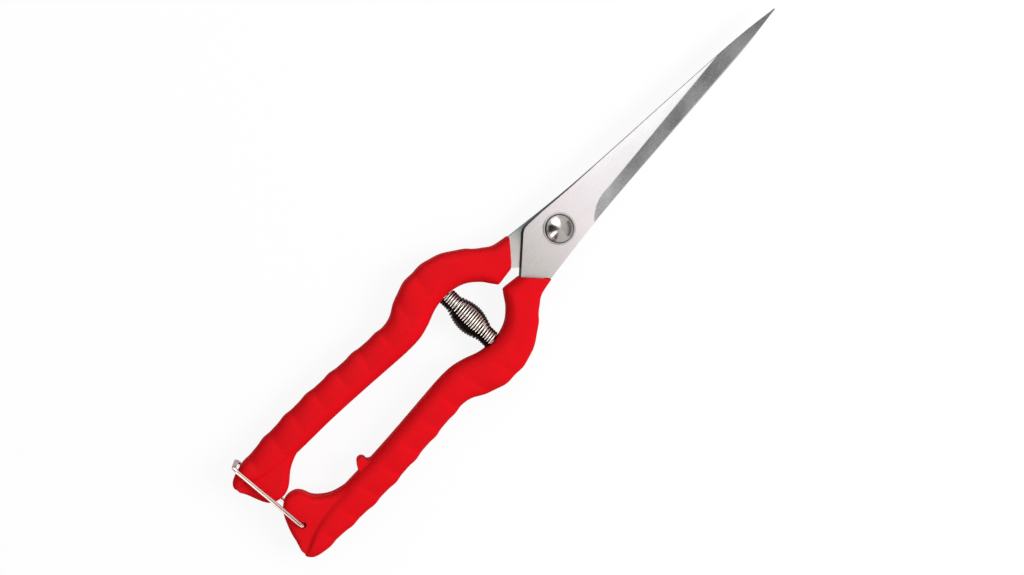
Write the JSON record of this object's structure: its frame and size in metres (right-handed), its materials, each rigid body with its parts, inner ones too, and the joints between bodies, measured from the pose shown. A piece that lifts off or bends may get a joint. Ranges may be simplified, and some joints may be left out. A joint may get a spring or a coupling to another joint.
{
  "type": "floral snips",
  "caption": "Long-pointed floral snips with sprung S-shaped grips, a domed pivot bolt and a swinging wire bail that locks the handles shut.",
  "frame": {"origin": "on the pivot axis, on the flat underside of the pivot nut", "axes": "+Y from the pivot to the blade tips, +X towards the front half's grip, +Z along the pivot towards the bolt's dome"},
  "size_m": [0.0396, 0.1999, 0.013],
  "materials": {
    "blade_steel": "ground and polished stainless blade steel with a matt ground bevel",
    "grip_plastic": "satin moulded red plastic",
    "bolt_steel": "polished steel",
    "spring_steel": "bright drawn spring wire",
    "bail_wire": "bright plated steel wire"
  },
  "bodies": {
    "front_half": {"front_blade": "blade_steel", "front_grip": "grip_plastic", "pivot_bolt": "bolt_steel", "head_washer": "bolt_steel", "nut_washer": "bolt_steel", "pivot_nut": "bolt_steel", "front_spring_stud": "bolt_steel", "return_spring": "spring_steel"},
    "rear_half": {"rear_blade": "blade_steel", "rear_grip": "grip_plastic", "rear_spring_stud": "bolt_steel"},
    "latch": {"latch_bail": "bail_wire"}
  },
  "joints": [
    {"name": "blade_pivot", "type": "hinge", "parent": "front_half", "child": "rear_half", "pos_m": [0, 0, 0.0065], "axis": [0, 0, -1], "range_deg": [0, 18], "deforming": ["return_spring"]},
    {"name": "latch_swing", "type": "hinge", "parent": "front_half", "child": "latch", "pos_m": [0.0071, -0.1082, 0.0065], "axis": [0, 0, 1], "range_deg": [0, 239]}
  ],
  "couplings": [
    {"joint": "latch_swing", "follows": "blade_pivot", "ratio": 13.25}
  ]
}
